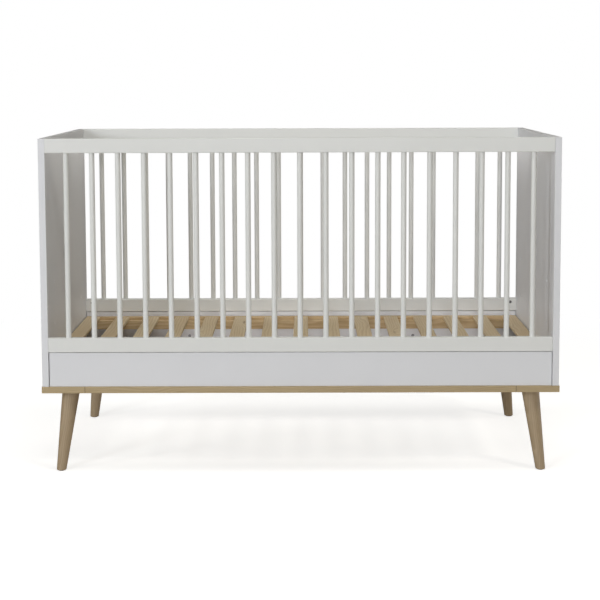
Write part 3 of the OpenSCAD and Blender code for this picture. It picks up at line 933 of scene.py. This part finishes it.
# a nut lies along Y and shows inside the bed, or stands upright and shows below
def nutPlaces(nodeName):
    places = []
    for low, high in looseParts(nodeName):
        centre = (low + high) / 2
        upright = high.z - low.z > high.y - low.y
        inward = Vector((0, -1 if centre.y > 0 else 1, 0))
        places.append((centre, Vector((0, 0, -1)) if upright else inward))
    return places


for pieceName, nodeName, seed in (("sideBarrelNuts", "side_barrel_nuts", 2),
                                  ("apronBarrelNuts", "apron_barrel_nuts", 6)):
    low, high = looseParts(nodeName)[0]
    size = high - low
    master = nutMaster(pieceName + "Master", size.x / 2, max(size.y, size.z))
    setFasteners(pieceName, nodeName, master, nutPlaces(nodeName), nutMetal,
                 caseBody, seed, 0.0)


# a countersunk screw with a cross recess: its head's face is z = 0, and it faces +Z
def screwMaster(name, headRadius, shankRadius, length):
    cone = headRadius - shankRadius
    outline = [(0, -length), (shankRadius * 0.35, -length + shankRadius),
               (shankRadius, -length + shankRadius * 3.5), (shankRadius, -cone - 0.2 * mm),
               (headRadius, -0.15 * mm), (headRadius, -0.02 * mm), (headRadius * 0.9, 0), (0, 0)]
    master = addObject(name, turnedMesh(name, outline, 28))
    arm, half, deep = headRadius * 0.55, headRadius * 0.11, headRadius * 0.4
    cutOut(master, slab("crossA", (-arm, -half, -deep), (arm, half, deep)))
    cutOut(master, slab("crossB", (-half, -arm, -deep), (half, arm, deep)))
    return master


for pieceName, nodeName, axis, end, shank, body, seed in (
        ("slatScrews", "slat_screws", 2, 1, 1.75 * mm, slatBody, 12),
        ("cornerScrews", "corner_screws", 1, 0, 2 * mm, slatBody, 15),
        ("panelScrews", "panel_screws", 2, -1, 2.5 * mm, caseBody, 18)):
    low, high = looseParts(nodeName)[0]
    master = screwMaster(pieceName + "Master", (high.x - low.x) / 2, shank, high[axis] - low[axis])
    setFasteners(pieceName, nodeName, master, endPlaces(nodeName, axis, end), zincSteel,
                 body, seed)


# a support pin with chamfered ends and a groove: it starts at z = 0 in the panel and faces +Z
def pinMaster(name, radius, length):
    chamfer, neck = radius * 0.2, radius * 0.93
    outline = [(0, 0), (radius - chamfer, 0), (radius, chamfer), (radius, length * 0.47),
               (neck, length * 0.48), (neck, length * 0.5), (radius, length * 0.51),
               (radius, length - chamfer), (radius - chamfer, length), (0, length)]
    return addObject(name, turnedMesh(name, outline, 32))


low, high = looseParts("support_pins")[0]
setFasteners("supportPins", "support_pins", pinMaster("pinMaster", (high.z - low.z) / 2, high.x - low.x),
             endPlaces("support_pins", 0, 0, facing=-1), zincSteel, caseBody, 21)


# a felt disc under a foot: it starts at z = 0 on the floor
def glideMaster(name, radius, thick):
    outline = [(0, 0), (radius * 0.5, 0), (radius * 0.93, 0), (radius * 0.985, thick * 0.2),
               (radius, thick * 0.5), (radius * 0.985, thick * 0.85), (radius * 0.95, thick), (0, thick)]
    return addObject(name, turnedMesh(name, outline, 40))


low, high = looseParts("foot_glides")[0]
setFasteners("footGlides", "foot_glides", glideMaster("glideMaster", (high.x - low.x) / 2, high.z - low.z),
             endPlaces("foot_glides", 2, -1, facing=-1), glideFelt, caseBody, 24)
print("fasteners made")

# CAD nodes that stay as they are, out of sight inside the wood
for nodeName in ("leg_bolts", "leg_inserts"):
    setMaterial(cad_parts[nodeName], zincSteel)
for nodeName in ("side_dowels", "case_dowels", "base_dowels"):
    setMaterial(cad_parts[nodeName], dowelWood)


# ---- floor, light and camera

studio = {
    "floorHalf": 30.0, "floorSeen": colour(.75, .75, .75), "floorBounce": colour(.50, .47, .43),
    "seenGlow": 0.71, "bounceGlow": 0.05, "glowColour": colour(1.0, .97, .91),
    "shadeMiddle": (0.0, -0.08, 0.0), "shadeHalf": (0.72, 0.30, 1.0), "shadeEdge": (1.25, 0.35),
    "shadeDepth": 0.12,
    "fadeFrom": 1.1, "fadeTo": 2.6, "ambient": 0.11, "ambientColour": colour(1.0, .95, .80),
    "aim": (0.0, 0.0, 0.4), "boxes": (
        {"name": "mainBox", "place": (-4.6, -7.2, 2.5), "size": (1.6, 2.2), "power": 204.0,
         "tint": (.92, .955, 1.0)},
        {"name": "frontBox", "place": (0.1, -8.6, 1.7), "size": (1.0, 0.7), "power": 94.0,
         "tint": (.93, .965, 1.0)},
        {"name": "leftStrip", "place": (-6.2, -4.2, 2.3), "size": (0.8, 3.0), "power": 76.0,
         "tint": (1.0, .98, .94)},
        {"name": "highBox", "place": (4.3, -3.9, 4.8), "size": (0.9, 0.9), "power": 74.0,
         "tint": (1.0, .96, .86)},
        {"name": "topBox", "place": (0.0, -0.6, 4.2), "size": (3.0, 1.6), "power": 48.0,
         "tint": (1.0, .98, .93)},
        {"name": "rightFill", "place": (7.0, 1.4, 0.55), "size": (1.0, 0.5), "power": 80.0,
         "tint": (1.0, .99, .97), "aim": (0.7, 0, 0.5)},
        {"name": "backFill", "place": (0.0, 7.8, 0.9), "size": (2.0, 0.8), "power": 26.0,
         "tint": (1.0, .99, .97)},
        {"name": "underBox", "place": (0.1, -0.24, 0.264), "size": (1.06, 0.02), "power": 0.085, "cone": 0.4,
         "tint": (1.0, .98, .97), "aim": (0.1, 0.36, 0.262)},
    ),
}


# the floor is a real floor near the bed and fades into plain white further out
def makeFloor():
    mesh = bpy.data.meshes.new("floor")
    half = studio["floorHalf"]
    mesh.from_pydata([(-half, -half, 0), (half, -half, 0), (half, half, 0), (-half, half, 0)],
                     [], [(0, 1, 2, 3)])
    floor = addObject("floor", mesh)
    material, tree, shader = startMaterial("studioFloor", 0.9, 0.1)
    seen = tree.nodes.new("ShaderNodeLightPath").outputs["Is Camera Ray"]
    at = tree.nodes.new("ShaderNodeTexCoord").outputs["Object"]
    feed(tree, shader, {"Base Color": blendColour(tree, seen, studio["floorBounce"], studio["floorSeen"]),
                        "Emission Color": blendColour(tree, seen, studio["glowColour"], colour(1, 1, 1))})
    # a broad soft shade lies under the middle of the bed
    aside = vectorCalc(tree, "DIVIDE", vectorCalc(tree, "SUBTRACT", at, studio["shadeMiddle"]),
                       studio["shadeHalf"])
    aside = addNode(tree, "ShaderNodeVectorMath", {0: aside}, operation="LENGTH").outputs["Value"]
    shade = spread(tree, aside, *studio["shadeEdge"], 0.0, studio["shadeDepth"])
    glow = spread(tree, seen, 0.0, 1.0, studio["bounceGlow"], studio["seenGlow"], False)
    tree.links.new(calc(tree, "SUBTRACT", glow, shade), shader.inputs["Emission Strength"])
    reach = addNode(tree, "ShaderNodeVectorMath", {0: at}, operation="LENGTH").outputs["Value"]
    fade = times(tree, spread(tree, reach, studio["fadeFrom"], studio["fadeTo"]), seen)
    white = addNode(tree, "ShaderNodeEmission", {"Color": colour(1, 1, 1), "Strength": 1.0})
    mixed = addNode(tree, "ShaderNodeMixShader", {0: fade, 1: shader.outputs[0], 2: white.outputs[0]})
    surface = next(n for n in tree.nodes if n.type == "OUTPUT_MATERIAL").inputs["Surface"]
    tree.links.new(mixed.outputs[0], surface)
    setMaterial(floor, material)


# plain white to the camera, a dim even fill to everything else
def makeWorld():
    world = bpy.data.worlds.new("studio")
    bpy.context.scene.world = world
    world.use_nodes = True
    tree = world.node_tree
    tree.nodes.clear()
    seen = tree.nodes.new("ShaderNodeLightPath").outputs["Is Camera Ray"]
    light = addNode(tree, "ShaderNodeBackground",
                    {"Color": blendColour(tree, seen, studio["ambientColour"], colour(1, 1, 1)),
                     "Strength": spread(tree, seen, 0.0, 1.0, studio["ambient"], 1.0, False)})
    addNode(tree, "ShaderNodeOutputWorld", {"Surface": light.outputs[0]})


def makeLights():
    for box in studio["boxes"]:
        data = bpy.data.lights.new(box["name"], "AREA")
        data.shape = "RECTANGLE"
        data.size, data.size_y = box["size"]
        data.energy = box["power"]
        data.color = box["tint"]
        data.spread = box.get("cone", math.pi)
        light = addObject(box["name"], data)
        place = Vector(box["place"])
        light.location = place
        direction = Vector(box.get("aim", studio["aim"])) - place
        light.rotation_euler = direction.to_track_quat("-Z", "Y").to_euler()
        light.visible_camera = False


cameraSetting = {
    "side": 0.0167, "ahead": 4.118, "height": 1.1128, "tilt": 0.0967,
    "turn": 0.0040, "roll": -0.0033, "lens": 90.0, "sensor": 36.0, "lift": -0.133,
    "near": 0.05, "far": 200.0,
}


def makeCamera():
    data = bpy.data.cameras.new("camera")
    data.lens = cameraSetting["lens"]
    data.sensor_width = cameraSetting["sensor"]
    data.shift_y = cameraSetting["lift"]
    data.clip_start, data.clip_end = cameraSetting["near"], cameraSetting["far"]
    camera = addObject("camera", data)
    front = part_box("left_end_panel")[0][1]
    camera.matrix_world = (
        Matrix.Translation((cameraSetting["side"], front - cameraSetting["ahead"], cameraSetting["height"]))
        @ Matrix.Rotation(cameraSetting["turn"], 4, "Z")
        @ Matrix.Rotation(math.pi / 2 - cameraSetting["tilt"], 4, "X")
        @ Matrix.Rotation(cameraSetting["roll"], 4, "Z"))
    bpy.context.scene.camera = camera


makeFloor()
makeWorld()
makeLights()
makeCamera()
bpy.context.scene.view_settings.view_transform = "Standard"
print("studio made")
